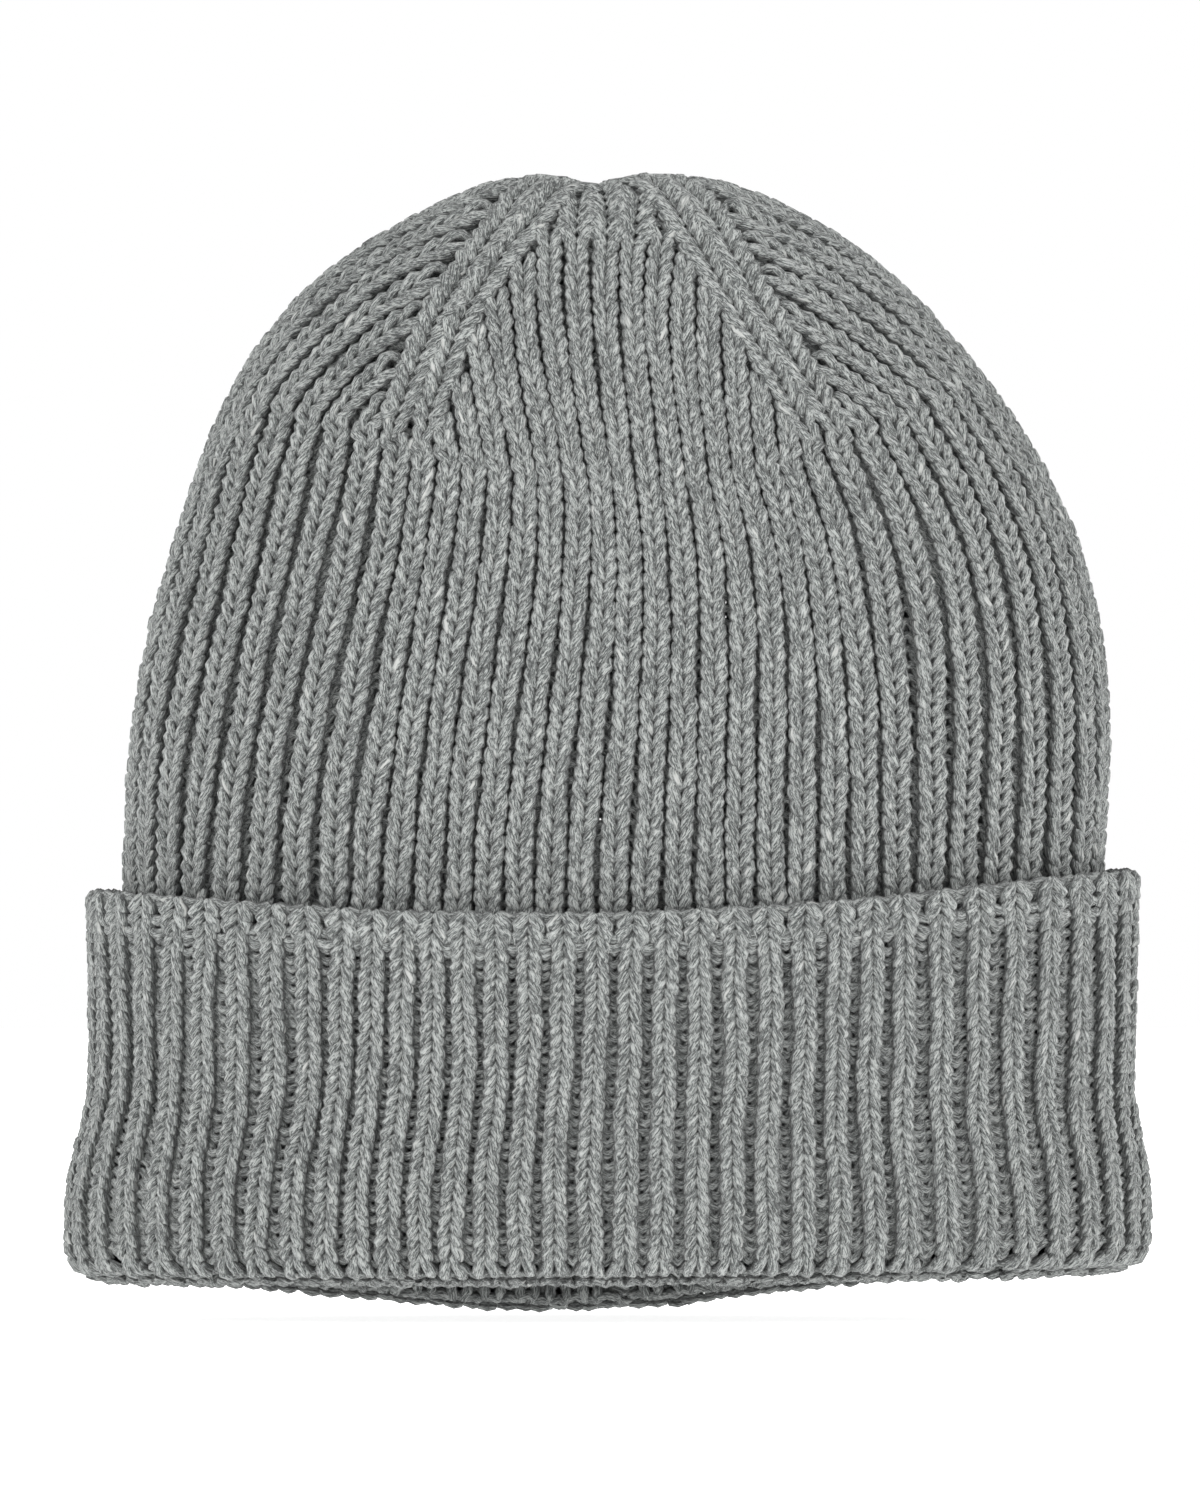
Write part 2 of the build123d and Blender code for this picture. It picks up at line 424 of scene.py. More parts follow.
def row_columns(row):
    """All columns round a row: an array with rows of gore, offset, follow and face."""
    reach = float(fabric.gore_reach(row))
    columns = []
    for gore in range(4):
        knit = gore_columns(row)
        for k, (offset, follow) in enumerate(knit):
            columns.append((gore, offset, follow, KNIT))
            if k + 1 < len(knit):
                o, f = knit[k + 1]
                seam = gore == SEAM_GORE and offset + o == 2 * SEAM_RIB and follow == f == 0
                gap = (o - offset) + (f - follow) * reach
                fits = gap > PURL_FITS or gap * fabric.pitch(row, gore) > PURL_ROOM
                if fits and row < GATHER_ROW and not seam:
                    columns.append((gore, (o + offset) / 2, (f + follow) / 2, PURL))
        if row < CROWN_ROW:
            columns.append((gore, 0.0, 1.0, PURL))
    columns = np.array(columns)
    if row in RIDGE_ROWS:
        columns[:, 3] = KNIT
    return columns


def edge_columns(face):
    """The free edge's columns: it is knitted as a tube, one face at a time."""
    columns = row_columns(FIRST_ROW)
    return columns[columns[:, 3] == face]


# ---------------------------------------------------------------- stitches
YARN = 1.13                   # yarn radius
LOOP_WIDTH = 4.15
LOOP_DEPTH = 1.6
SAMPLES = 14                  # yarn sections in one stitch
SIDES = 6                     # of a yarn section

# One loop's shape: across in loop widths, up in rows, out in loop depths, yarn thickness, and
# how much of SUNK it gets in the columns that lie at the bottom of a groove.
LOOP = np.array([
    (-0.08, -0.50, 0.35, 0.86, 0.3),
    (-0.235, 0.05, 0.98, 0.95, 0.0),
    (-0.41, 0.60, 0.98, 1.03, 0.0),
    (-0.33, 1.03, 0.30, 0.96, 0.8),
    (0.00, 1.22, -0.10, 0.88, 1.0),
    (0.33, 1.03, 0.30, 0.96, 0.8),
    (0.41, 0.60, 0.98, 1.03, 0.0),
    (0.235, 0.05, 0.98, 0.95, 0.0),
    (0.08, -0.50, 0.35, 0.86, 0.3),
])
# The same for a column whose reverse is seen: its loops' heads show, as rounded bumps.
BUMP = np.array([
    (-0.27, -0.28, 0.20, 0.84, 0.8),
    (-0.22, 0.10, 0.90, 0.98, 0.0),
    (-0.36, 0.60, 0.85, 1.02, 0.0),
    (-0.29, 1.04, 0.15, 0.92, 0.8),
    (0.00, 1.30, -0.25, 0.88, 1.0),
    (0.29, 1.04, 0.15, 0.92, 0.8),
    (0.36, 0.60, 0.85, 1.02, 0.0),
    (0.22, 0.10, 0.90, 0.98, 0.0),
    (0.27, -0.28, 0.20, 0.84, 0.8),
])
POINTS = len(LOOP) + 1        # the loop, and the point it shares with its neighbour

# a loop's width: it fills the room between its neighbours, within limits, in loop widths
ROOM = 2.8
NARROWEST = 0.62
WIDEST_PLAIN, WIDEST_PLAIN_CROWN = 1.45, 0.2    # beside a column with the same face
WIDEST_BODY, WIDEST_BODY_CROWN = 1.16, 0.45
WIDEST_CUFF, WIDEST_CUFF_LEFT = 0.89, 0.13      # the cuff is stretched, least on the left
LEFT_AT, LEFT_SPREAD = 6.9, 0.8                 # in eighths of the hat
BODY_FULLER = 1.05            # the relaxed body's ribs press together
PLUMP, PLUMP_ROOM = 0.3, 2.6  # the crown's yarn swells where it has more room than this

# depth: a groove's columns lie SUNK deep in it, and stand SHALLOW out where the groove ends
SUNK, SHALLOW, SUNK_THINNER = 1.15, 0.6, 0.1
CUFF_GROOVE = 0.65            # the stretched cuff's grooves are shallower than the body's
GROOVE_ROWS = 4               # a groove has its full depth this many rows from where it starts
RIDGE_FADE = 3                # the cuff's grooves fade out over these rows, next to the ridge
RIDGE_LIFT = 0.9              # how far the ridge stands out of the hem
# sinkers, which carry a row's yarn from loop to loop: their place in rows, and depth behind the
# mean surface, in loop depths or, in a groove, as a share of SUNK
SINKER_ROW = -0.75
SINKER_BACK, SINKER_BACK_GROOVE = 0.3, 0.4
SINKER_THICK = 0.90

# the free edge, and the bend at the hem
EDGE_SINKER_ROW = -0.1        # the free edge hides its first row's sinkers inside the tube
EDGE_SINKER_BACK = 0.15
EDGE_BEHIND = 0.45            # the tube's inner face starts this many rows lower
EDGE_THICK = 1.15
FOLD_THICK = 1.07             # the bent rows are crowded, so no wide gap opens between them

# hand-made unevenness, as spreads of random draws
LOOSE_WIDTH, LOOSE_DEPTH, LOOSE_THICK = 0.04, 0.07, 0.03   # shares of width, depth and radius
LOOSE_ACROSS, LOOSE_SUNK = 0.10, 0.22                      # millimetres
LOOSE_UP = 0.04               # rows
LOOSE_LOW = 2.2               # loops in a groove are placed this much more unevenly
PATTERN_LENGTH = 500          # a row's fibre pattern starts anywhere in this many millimetres
# a column wanders slowly: size in ribs, radians per row, and how much its phase counts
WANDERS = ((0.030, 0.21, 1.0), (0.026, 0.53, 2.3))
RIB_PHASE, GORE_PHASE = 7.13, 2.9     # radians from rib to rib and from gore to gore
LOWEST_LEVEL, HIGHEST_LEVEL = FIRST_ROW - 0.5, BODY_ROWS - 1.15   # of the points on a column
SLOPE_ROWS = 0.4              # a column's direction is taken over this much either way


class Yarn:
    """One row's yarn: its line, normals, tangents and radii, and where its stitches are."""

    def __init__(self, row, columns, edge=False):
        gore, offset, follow, face = columns.T
        self.row, self.edge = row, edge
        self.face = face
        self.count = len(columns)
        self.hidden = edge and face[0] == KNIT
        self.loose = rng.normal(size=(self.count, 4))
        self.shown = KNIT if row > -FOLD_ROWS / 2 else PURL
        self.low = face != self.shown
        self.same = face * np.roll(face, 1) > 0
        self.groove = self.groove_depth()
        # an eighth of the hat, divided halfway between the gore's middle rib and the next groove
        self.sector = (gore * 2 + (offset + follow > SEAM_RIB / 2)).astype(int)
        self.gore = gore.astype(int)
        points, normals, thick = self.loops(gore, offset, follow)
        self.trace(points, normals, thick)

    def groove_depth(self):
        """How deep the grooves are at this row, from 0 to 1."""
        if self.shown == KNIT:
            return smooth((self.row + 1) / GROOVE_ROWS)
        from_edge = smooth((self.row - FIRST_ROW - 1) / GROOVE_ROWS)
        return CUFF_GROOVE * from_edge * smooth((RIDGE_ROWS[1] - self.row) / RIDGE_FADE)

    def sizes(self, spot, side, gore, offset, follow):
        """Width of each loop, and how much its yarn is swollen."""
        left = np.abs(np.sum((spot - np.roll(spot, 1, axis=0)) * side, axis=1))
        right = np.abs(np.sum((np.roll(spot, -1, axis=0) - spot) * side, axis=1))
        room = np.minimum(left, right)
        crown = into_crown(self.row)
        if self.shown == KNIT:
            widest = WIDEST_BODY + WIDEST_BODY_CROWN * crown
            fuller = np.where(self.low, 1.0, BODY_FULLER)
        else:
            eighth = np.mod(2 * gore + follow + offset / fabric.gore_reach(self.row), 8)
            relaxed = np.exp(-(((eighth - LEFT_AT) / LEFT_SPREAD) ** 2))
            widest = WIDEST_CUFF + WIDEST_CUFF_LEFT * relaxed
            fuller = np.ones(self.count)
        plain = self.same | np.roll(self.same, -1)
        widest = np.where(plain, WIDEST_PLAIN + WIDEST_PLAIN_CROWN * crown, widest)
        width = LOOP_WIDTH * np.clip(room / ROOM, NARROWEST, widest)
        width = width * (1 + LOOSE_WIDTH * self.loose[:, 0]) * fuller
        plump = 1 + PLUMP * crown * np.clip(room / PLUMP_ROOM - 1, 0, 1)
        return width, plump * fuller

    def loops(self, gore, offset, follow):
        """Control points of the row's loops and sinkers, with normals and thickness."""
        low, loose = self.low, self.loose
        sinker_row = EDGE_SINKER_ROW if self.row == FIRST_ROW else SINKER_ROW
        low_spot, low_side, low_normal = self.stem(self.row + sinker_row, gore, offset, follow)
        width, swollen = self.sizes(low_spot, low_side, gore, offset, follow)
        depth = LOOP_DEPTH * self.face * (1 + LOOSE_DEPTH * loose[:, 1])
        sunk = self.shown * (SHALLOW - (SUNK + SHALLOW) * self.groove) + LOOSE_SUNK * loose[:, 1]
        sunk = np.where(low, sunk, 0)
        unlike = np.where(low, LOOSE_LOW, 1.0)[:, None]

        shape = np.where(low[:, None, None], BUMP, LOOP)
        up = shape[..., 1] + LOOSE_UP * unlike * loose[:, 3:]
        if self.hidden:
            up = up + EDGE_BEHIND
        across = shape[..., 0] * width[:, None] + LOOSE_ACROSS * unlike * loose[:, 2:3]
        out = shape[..., 2] * depth[:, None] + shape[..., 4] * sunk[:, None]
        back = self.sinker_depth()
        if self.row in RIDGE_ROWS:
            out -= RIDGE_LIFT
            back = back - RIDGE_LIFT

        spread = [np.repeat(values, len(LOOP)) for values in (gore, offset, follow)]
        stem, side, normal = self.stem(self.row + up.ravel(), *spread)
        loop = stem + side * across.ravel()[:, None] + normal * out.ravel()[:, None]
        sinker = (low_spot + np.roll(low_spot, 1, axis=0)) / 2 + low_normal * back[:, None]
        each = (self.count, len(LOOP), 3)
        points = np.concatenate([sinker[:, None], loop.reshape(each)], axis=1)
        normals = np.concatenate([low_normal[:, None], normal.reshape(each)], axis=1)

        thick = np.concatenate([np.full((self.count, 1), SINKER_THICK), shape[..., 3]], axis=1)
        thick[low, 1:] *= 1 - SUNK_THINNER * self.groove * BUMP[:, 4]
        thick *= swollen[:, None]
        if -FOLD_ROWS <= self.row <= 0:
            thick *= FOLD_THICK
        if self.edge:
            thick *= EDGE_THICK
        return points.reshape(-1, 3), normals.reshape(-1, 3), thick.ravel()

    def sinker_depth(self):
        """How far out each sinker lies; below 0 is behind the mean surface."""
        if self.edge:
            return -EDGE_SINKER_BACK * LOOP_DEPTH * self.face
        in_groove = -SINKER_BACK_GROOVE * SUNK * self.shown * self.groove
        return np.where(self.same, -SINKER_BACK * LOOP_DEPTH * self.face, in_groove)

    def trace(self, points, normals, thick):
        """The yarn's sections along the smooth curve through its control points."""
        at = np.arange(self.count * SAMPLES) * POINTS / SAMPLES
        whole = at.astype(int)
        self.centre = self.curve(points, whole, at - whole)
        self.normal = self.curve(normals, whole, at - whole)
        self.normal /= np.linalg.norm(self.normal, axis=1, keepdims=True)
        size = np.interp(at, np.arange(self.count * POINTS), thick, period=self.count * POINTS)
        self.radius = YARN * size * (1 + LOOSE_THICK * rng.normal(size=len(at)))
        tangent = np.roll(self.centre, -1, axis=0) - np.roll(self.centre, 1, axis=0)
        self.tangent = tangent / np.linalg.norm(tangent, axis=1, keepdims=True)
        step = np.linalg.norm(np.roll(self.centre, -1, axis=0) - self.centre, axis=1)
        self.along = np.concatenate([[0], np.cumsum(step)[:-1]]) + rng.uniform(0, PATTERN_LENGTH)

    @staticmethod
    def stem(level, gore, offset, follow):
        """Points on columns at given rows, with the way across each column and the way out."""
        level = np.clip(level, LOWEST_LEVEL, HIGHEST_LEVEL)
        phase = RIB_PHASE * offset + GORE_PHASE * gore

        def spot_at(level):
            rib = offset + follow * fabric.gore_reach(level)
            for size, turn, count in WANDERS:
                rib = rib + size * np.sin(turn * level + count * phase)
            return fabric.place(level, gore, rib)

        spot, normal = spot_at(level)
        near, _ = spot_at(level - SLOPE_ROWS)
        far, _ = spot_at(level + SLOPE_ROWS)
        side = np.cross(far - near, normal)
        side /= np.linalg.norm(side, axis=1, keepdims=True)
        return spot, side, normal

    @staticmethod
    def curve(points, whole, part):
        """Catmull-Rom spline through a closed run of points."""
        count = len(points)
        a, b = points[(whole - 1) % count], points[whole % count]
        c, d = points[(whole + 1) % count], points[(whole + 2) % count]
        t = part[:, None]
        bend = (2 * a - 5 * b + 4 * c - d) * t**2 + (3 * b - a - 3 * c + d) * t**3
        return 0.5 * (2 * b + (c - a) * t + bend)

    def cut(self, chosen):
        """A run for tube_mesh of the yarn that the chosen stitches make, or None."""
        marks = np.flatnonzero(chosen)
        if len(marks) == 0:
            return None
        breaks = np.flatnonzero(~chosen)
        whole = len(breaks) == 0 or 0 not in marks
        first = marks[0] if whole else (breaks[-1] + 1) % len(chosen)
        index = first * SAMPLES + np.arange(len(marks) * SAMPLES + 1)
        index = index % len(self.centre)
        along = self.along[index]
        drop = np.flatnonzero(np.diff(along) < 0)
        if len(drop):
            along[drop[0] + 1:] += self.along[-1] - self.along[0]
        return self.centre[index], self.normal[index], self.tangent[index], self.radius[index], along


# ---------------------------------------------------------------- meshes
BAKE_EDGE, BAKE_FILL = 0.04, 0.92     # each tube's strip of the baking layout, in strips
CAP_UV = 0.001


def tube_points(centre, normal, tangent, radius):
    """Points round a yarn, section after section."""
    angles = 2 * math.pi * np.arange(SIDES) / SIDES
    side = np.cross(tangent, normal)
    side /= np.linalg.norm(side, axis=1, keepdims=True)
    lift = np.cross(side, tangent)
    flat = np.cos(angles)[None, :, None] * side[:, None]
    high = np.sin(angles)[None, :, None] * lift[:, None]
    return (centre[:, None] + radius[:, None, None] * (flat + high)).reshape(-1, 3)


def corner_uv(u0, u1, v0, v1):
    """The four corners' places of a grid of faces, from each face's low and high ends."""
    u0, u1, v0, v1 = np.broadcast_arrays(u0, u1, v0, v1)
    return np.stack([u0, v0, u1, v0, u1, v1, u0, v1], axis=-1).reshape(-1, 2)


def tube_mesh(name, runs):
    """A mesh of yarn tubes. Each run is (centre, normal, tangent, radius, along)."""
    verts, quads, caps, yarn_uv, bake_uv = [], [], [], [], []
    start = 0
    longest = max(len(run[0]) for run in runs)
    for strip, (centre, normal, tangent, radius, along) in enumerate(runs):
        verts.append(tube_points(centre, normal, tangent, radius))
        sections = len(centre)
        i = np.arange(sections - 1)[:, None]
        j = np.arange(SIDES)[None]
        k = (j + 1) % SIDES
        corners = [start + a * SIDES + b for a, b in ((i, j), (i + 1, j), (i + 1, k), (i, k))]
        quads.append(np.stack(corners, axis=-1).reshape(-1, 4))
        v0, v1 = j / SIDES, (j + 1) / SIDES
        yarn_uv.append(corner_uv(along[:-1, None], along[1:, None], v0, v1))
        w0, w1 = ((strip + BAKE_EDGE + BAKE_FILL * v) / len(runs) for v in (v0, v1))
        bake_uv.append(corner_uv(i / longest, (i + 1) / longest, w0, w1))
        caps.append(start + np.arange(SIDES)[::-1])
        caps.append(start + (sections - 1) * SIDES + np.arange(SIDES))
        start += sections * SIDES
    cap_uv = np.zeros((len(caps) * SIDES, 2))
    layers = {
        "OFBake": np.concatenate(bake_uv + [cap_uv + CAP_UV]),
        "Yarn": np.concatenate(yarn_uv + [cap_uv]),
    }
    mesh = filled_mesh(name, np.concatenate(verts) * MM, np.concatenate(quads), np.array(caps), layers)
    piece = bpy.data.objects.new(name, mesh)
    bpy.context.collection.objects.link(piece)
    return piece


def filled_mesh(name, verts, quads, caps, layers):
    """A mesh of smooth quads and flat end caps, with its UV layers."""
    mesh = bpy.data.meshes.new(name)
    mesh.vertices.add(len(verts))
    mesh.vertices.foreach_set("co", verts.astype(np.float32).ravel())
    corners = np.concatenate([quads.ravel(), caps.ravel()])
    mesh.loops.add(len(corners))
    mesh.loops.foreach_set("vertex_index", corners.astype(np.int32))
    mesh.polygons.add(len(quads) + len(caps))
    starts = np.concatenate([np.arange(len(quads)) * 4, quads.size + np.arange(len(caps)) * SIDES])
    mesh.polygons.foreach_set("loop_start", starts.astype(np.int32))
    for label, places in layers.items():
        layer = mesh.uv_layers.new(name=label)
        layer.data.foreach_set("uv", places.astype(np.float32).ravel())
    smooth_faces = np.concatenate([np.ones(len(quads), bool), np.zeros(len(caps), bool)])
    mesh.polygons.foreach_set("use_smooth", smooth_faces)
    mesh.update()
    mesh.validate()
    return mesh


# ---------------------------------------------------------------- pieces
SIDE_NAMES = (
    "front_left", "front_right", "right_front", "right_back",
    "back_right", "back_left", "left_back", "left_front",
)
GORE_NAMES = ("front", "right", "back", "left")
CUFF_NODES = ("cuff_panel", "turned_fold", "cuff_start_edge")
CROWN_NODES = ("crown_front", "crown_right", "crown_left", "crown_back_left", "crown_back_right")
SEAM_REACH, SEAM_FLAT, SEAM_YARN = 1.25, 0.7, 0.85
SEAM_DETAIL = 10              # points in each of its turns
CUFF_SEAM = (FIRST_ROW + 0.5, -0.6, -0.5)     # first row, last row, how far out
BODY_SEAM = (-0.4, LAST_ROW - 2.0, 0.1)
TIE_TURNS, TIE_REACH, TIE_POINTS = 2.6, 4.2, 90
TIE_CLOSING, TIE_HEART = 0.8, 0.25    # how the whorl closes in, and the hole in its middle
TIE_OVAL, TIE_YARN = 0.85, 0.9
TIE_RIPPLES, TIE_RIPPLE, TIE_SINK, TIE_CLIMB = 5, 0.5, 0.5, 0.9

knitwear = []


def finished(piece, body, replaced):
    """Give a piece its body, and hide the CAD nodes that it stands for."""
    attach(piece, body)
    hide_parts(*replaced)
    knitwear.append(piece)


def knit_runs(rows, sector=None, gore=None):
    """Runs of some rows' yarn, cut to an eighth or a quarter of the hat."""
    runs = []
    for yarn in rows:
        chosen = yarn.sector == sector if gore is None else yarn.gore == gore
        run = yarn.cut(chosen)
        if run is not None:
            runs.append(run)
    return runs


def open_run(centre, normal, radius):
    """A run for tube_mesh from a curve with two ends."""
    tangent = np.gradient(centre, axis=0)
    tangent /= np.linalg.norm(tangent, axis=1, keepdims=True)
    step = np.linalg.norm(np.diff(centre, axis=0), axis=1)
    along = np.concatenate([[0], np.cumsum(step)])
    return centre, normal, tangent, radius * np.ones(len(centre)), along


def seam_run(first, last, out):
    """The joining yarn: it whips over and under, once a row, up the seam's groove."""
    level = np.linspace(first, last, int((last - first) * SEAM_DETAIL))
    gore = np.full(len(level), float(SEAM_GORE))
    stem, side, normal = Yarn.stem(level, gore, SEAM_RIB + 0 * level, 0 * level)
    turn = 2 * math.pi * level
    centre = stem + side * (SEAM_REACH * np.cos(turn))[:, None]
    centre += normal * (out + SEAM_REACH * SEAM_FLAT * np.sin(turn))[:, None]
    return open_run(centre, normal, SEAM_YARN)


def tie_run():
    """The end of the yarn, drawn through the last loops and wound into a small tight whorl."""
    turns = np.linspace(0, 2 * math.pi * TIE_TURNS, TIE_POINTS)
    wound = turns / turns[-1]
    reach = TIE_REACH * (1 - wound) ** TIE_CLOSING + TIE_HEART
    rise = TIE_RIPPLE * np.sin(TIE_RIPPLES * turns) - TIE_SINK + TIE_CLIMB * wound
    whorl = [reach * np.cos(turns), TIE_OVAL * reach * np.sin(turns), rise]
    centre = fabric.grid[-1, :-1].mean(axis=0) + np.stack(whorl, axis=1)
    normal = np.tile([0.0, 0.0, 1.0], (len(turns), 1))
    return open_run(centre, normal, TIE_YARN * YARN)


yarns = {}
for row in range(FIRST_ROW + EDGE_ROWS, LAST_ROW + 1):
    yarns[row] = Yarn(row, row_columns(row))
edge_yarns = []
for row in range(FIRST_ROW, FIRST_ROW + EDGE_ROWS):
    for face in (PURL, KNIT):
        edge_yarns.append(Yarn(row, edge_columns(face), edge=True))

cuff_yarns = [yarn for row, yarn in yarns.items() if row < 0] + edge_yarns
body_yarns = [yarn for row, yarn in yarns.items() if 0 <= row < CROWN_ROW]
crown_yarns = [yarn for row, yarn in yarns.items() if row >= CROWN_ROW]
for sector, side in enumerate(SIDE_NAMES):
    piece = tube_mesh("cuff_knit_" + side, knit_runs(cuff_yarns, sector))
    finished(piece, "cuff", CUFF_NODES)
    piece = tube_mesh("body_knit_" + side, knit_runs(body_yarns, sector))
    finished(piece, "crown_and_body", ("body_panel",))
for gore, side in enumerate(GORE_NAMES):
    piece = tube_mesh("crown_knit_" + side, knit_runs(crown_yarns, gore=gore))
    finished(piece, "crown_and_body", CROWN_NODES)
piece = tube_mesh("cuff_seam_yarn", [seam_run(*CUFF_SEAM)])
finished(piece, "cuff", ("cuff_seam",))
piece = tube_mesh("body_seam_yarn", [seam_run(*BODY_SEAM)])
finished(piece, "crown_and_body", ("body_seam",))
piece = tube_mesh("crown_tie_yarn", [tie_run()])
finished(piece, "crown_and_body", ("crown_tie",))

# ---------------------------------------------------------------- materials
BLACK, WHITE = (0, 0, 0), (1, 1, 1)
PALE_FLECK = (0.55, 0.56, 0.54, 1)
# colours along a value: the fibres' tone, where flecks are, and the painted shade that darkens the
# yarn's flanks, where it meets its neighbours
TONES = ((0.435, (0.062, 0.067, 0.066)), (0.5, (0.215, 0.230, 0.224)), (0.57, (0.48, 0.50, 0.485)))
FLECKS = ((0.70, BLACK), (0.76, WHITE))
FLANK_PAINTED_SHADE = ((0.08, (0.27, 0.27, 0.27)), (0.52, WHITE))
# noise in the yarn: scale, detail, roughness
FIBRE_NOISE = (5.4, 3.0, 0.64)
MARL_NOISE = (1.3, 2.0, 0.5)
FLECK_NOISE = (0.9, 1.0, 0.4)
FIBRE_SHARE = 0.75            # of the tone; the rest is the slower marl
TWIST = 0.1                   # fibres' turn round the yarn, radians per millimetre
FIBRE_STRETCH = 0.24          # fibres are longer than they are wide


def shader(name):
    """A new material with its nodes, links and main shader."""
    material = bpy.data.materials.new(name)
    material.use_nodes = True
    nodes, links = material.node_tree.nodes, material.node_tree.links
    return material, nodes, links, nodes["Principled BSDF"]


def math_node(nodes, links, kind, *inputs):
    """A Math node fed by numbers or sockets."""
    node = nodes.new("ShaderNodeMath")
    node.operation = kind
    for k, value in enumerate(inputs):
        if isinstance(value, (int, float)):
            node.inputs[k].default_value = value
        else:
            links.new(value, node.inputs[k])
    return node.outputs[0]


def ramp(nodes, links, source, stops):
    """A colour ramp on a value. Stops are (position, (r, g, b))."""
    node = nodes.new("ShaderNodeValToRGB")
    links.new(source, node.inputs[0])
    elements = node.color_ramp.elements
    while len(elements) < len(stops):
        elements.new(0.5)
    for element, (position, colour) in zip(elements, stops):
        element.position = position
        element.color = (*colour, 1)
    return node.outputs[0]


def noise(nodes, links, vector, scale, detail, rough):
    """A noise texture's value on a vector."""
    node = nodes.new("ShaderNodeTexNoise")
    links.new(vector, node.inputs["Vector"])
    node.inputs["Scale"].default_value = scale
    node.inputs["Detail"].default_value = detail
    node.inputs["Roughness"].default_value = rough
    return node.outputs[0]


def yarn_material(name):
    """Soft marled grey yarn: fibres twist round it, lighter and darker ones mixed, with painted shade
    on its flanks.
    """
    material, nodes, links, main = shader(name)
    uv = nodes.new("ShaderNodeUVMap")
    uv.uv_map = "Yarn"
    split = nodes.new("ShaderNodeSeparateXYZ")
    links.new(uv.outputs[0], split.inputs[0])
    along, around = split.outputs[0], split.outputs[1]
    turn = math_node(nodes, links, "MULTIPLY", around, 2 * math.pi)
    twist = math_node(nodes, links, "MULTIPLY_ADD", along, TWIST, turn)
    ring = nodes.new("ShaderNodeCombineXYZ")
    links.new(math_node(nodes, links, "MULTIPLY", along, FIBRE_STRETCH), ring.inputs[0])
    links.new(math_node(nodes, links, "COSINE", twist), ring.inputs[1])
    links.new(math_node(nodes, links, "SINE", twist), ring.inputs[2])

    fibre = noise(nodes, links, ring.outputs[0], *FIBRE_NOISE)
    marl = noise(nodes, links, ring.outputs[0], *MARL_NOISE)
    fleck = noise(nodes, links, ring.outputs[0], *FLECK_NOISE)
    fine = math_node(nodes, links, "MULTIPLY", fibre, FIBRE_SHARE)
    tone = math_node(nodes, links, "MULTIPLY_ADD", marl, 1 - FIBRE_SHARE, fine)
    flecked = nodes.new("ShaderNodeMix")
    flecked.data_type = "RGBA"
    links.new(ramp(nodes, links, fleck, FLECKS), flecked.inputs["Factor"])
    links.new(ramp(nodes, links, tone, TONES), flecked.inputs["A"])
    flecked.inputs["B"].default_value = PALE_FLECK

    # painted shade: the base colour is darkened on the yarn's flanks, round its sides, where
    # neighbouring yarns would shade it
    flank_shade_mask = math_node(nodes, links, "ABSOLUTE", math_node(nodes, links, "SINE", turn))
    shaded = nodes.new("ShaderNodeMix")
    shaded.data_type = "RGBA"
    shaded.blend_type = "MULTIPLY"
    shaded.inputs["Factor"].default_value = 1.0
    links.new(flecked.outputs["Result"], shaded.inputs["A"])
    links.new(ramp(nodes, links, flank_shade_mask, FLANK_PAINTED_SHADE), shaded.inputs["B"])
    links.new(shaded.outputs["Result"], main.inputs["Base Color"])
    main.inputs["Roughness"].default_value = 0.92
    main.inputs["Specular IOR Level"].default_value = 0.18
    main.inputs["Sheen Weight"].default_value = 0.25
    main.inputs["Sheen Roughness"].default_value = 0.55

    bump = nodes.new("ShaderNodeBump")
    bump.inputs["Strength"].default_value = 0.9
    bump.inputs["Distance"].default_value = 0.0009
    links.new(fibre, bump.inputs["Height"])
    links.new(bump.outputs[0], main.inputs["Normal"])
    return material


wool = yarn_material("grey_marl_yarn")
for piece in knitwear:
    piece.data.materials.append(wool)

# ---------------------------------------------------------------- stage, light and camera
FLOOR_RADIUS, FLOOR_EDGES = 6.0, 96
FLOOR_DROP, FLOOR_GLOW = 0.0002, 0.9
SKY_SEEN, SKY_LIGHT = 1.0, 0.74       # how bright the surround looks, and how much light it gives
KEY_PLACE, KEY_SIZE, KEY_POWER = (-1.1, -1.05, 1.45), 0.8, 22.5
FILL_PLACE, FILL_SIZE, FILL_POWER = (1.65, -1.0, 0.5), 1.2, 17.5
LENS, SENSOR = 700, 36        # a long lens from far off, so the view is nearly parallel
VIEW_HEIGHT = 0.29625         # what the picture takes in, top to bottom, at the hat
VIEW_ACROSS, VIEW_UP = -0.0026, 0.1122        # the middle of the picture, at the hat


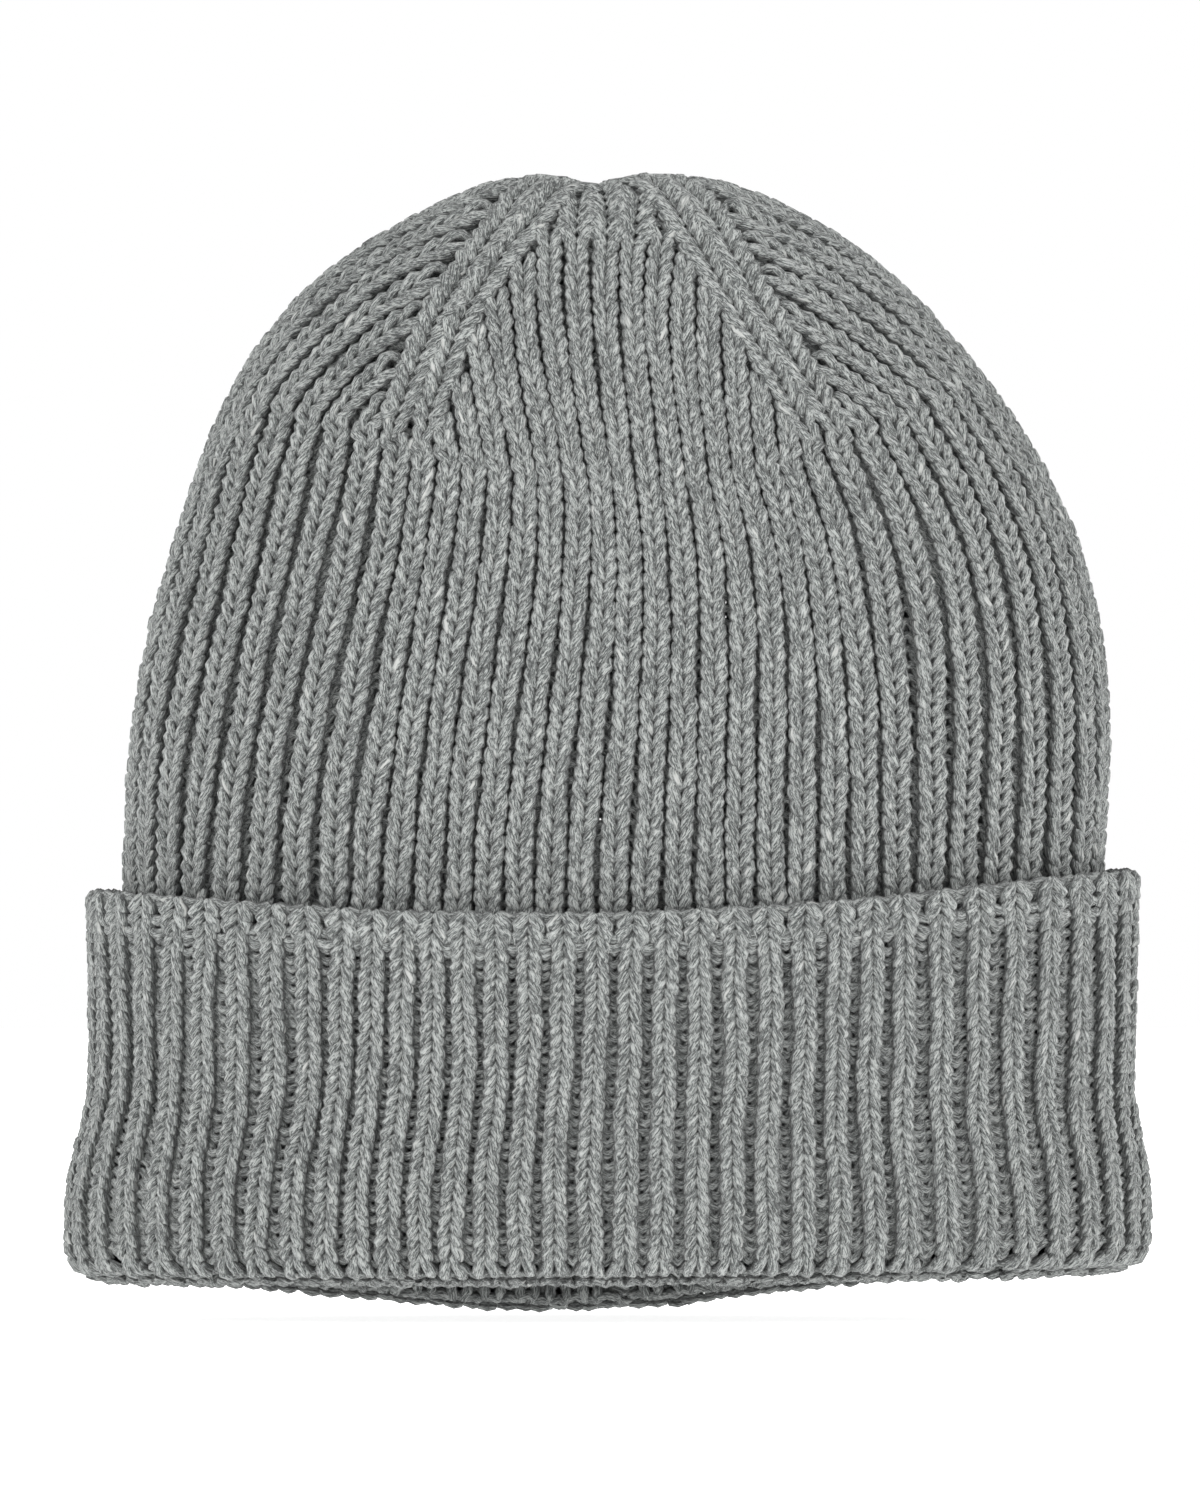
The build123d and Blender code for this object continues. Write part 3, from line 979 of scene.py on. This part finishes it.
def stage():
    """A wide white floor."""
    mesh = bpy.data.meshes.new("floor")
    shape = bmesh.new()
    bmesh.ops.create_circle(shape, cap_ends=True, segments=FLOOR_EDGES, radius=FLOOR_RADIUS)
    shape.to_mesh(mesh)
    shape.free()
    floor = bpy.data.objects.new("floor", mesh)
    bpy.context.collection.objects.link(floor)
    floor.location.z = -FLOOR_DROP
    material, nodes, links, main = shader("floor_white")
    main.inputs["Base Color"].default_value = (0.9, 0.9, 0.9, 1)
    main.inputs["Roughness"].default_value = 0.9
    main.inputs["Emission Color"].default_value = (1, 1, 1, 1)
    main.inputs["Emission Strength"].default_value = FLOOR_GLOW
    mesh.materials.append(material)


def studio_world():
    """A white surround: full white where it is seen, softer as a light."""
    world = bpy.data.worlds.new("studio")
    bpy.context.scene.world = world
    world.use_nodes = True
    nodes, links = world.node_tree.nodes, world.node_tree.links
    background = nodes["Background"]
    background.inputs["Color"].default_value = (1, 1, 1, 1)
    seen = nodes.new("ShaderNodeLightPath").outputs["Is Camera Ray"]
    strength = math_node(nodes, links, "MULTIPLY_ADD", seen, SKY_SEEN - SKY_LIGHT, SKY_LIGHT)
    links.new(strength, background.inputs["Strength"])


def soft_light(name, place, aim, size, power):
    """An area light at a place, aimed at a point."""
    data = bpy.data.lights.new(name, "AREA")
    data.size = size
    data.energy = power
    light = bpy.data.objects.new(name, data)
    bpy.context.collection.objects.link(light)
    light.location = place
    light.rotation_euler = (Vector(aim) - Vector(place)).to_track_quat("-Z", "Y").to_euler()


def front_camera():
    """The camera, about level with the hat's middle and straight in front of it."""
    data = bpy.data.cameras.new("camera")
    data.lens = LENS
    data.sensor_width = SENSOR
    camera = bpy.data.objects.new("camera", data)
    bpy.context.collection.objects.link(camera)
    camera.location = (VIEW_ACROSS, -VIEW_HEIGHT * LENS / SENSOR, VIEW_UP)
    camera.rotation_euler = (math.pi / 2, 0, 0)
    bpy.context.scene.camera = camera


middle = [(low + high) / 2 for low, high in zip(cad_low, cad_high)]
stage()
studio_world()
soft_light("key", KEY_PLACE, middle, KEY_SIZE, KEY_POWER)
soft_light("fill", FILL_PLACE, middle, FILL_SIZE, FILL_POWER)
front_camera()
bpy.context.scene.view_settings.view_transform = "Standard"
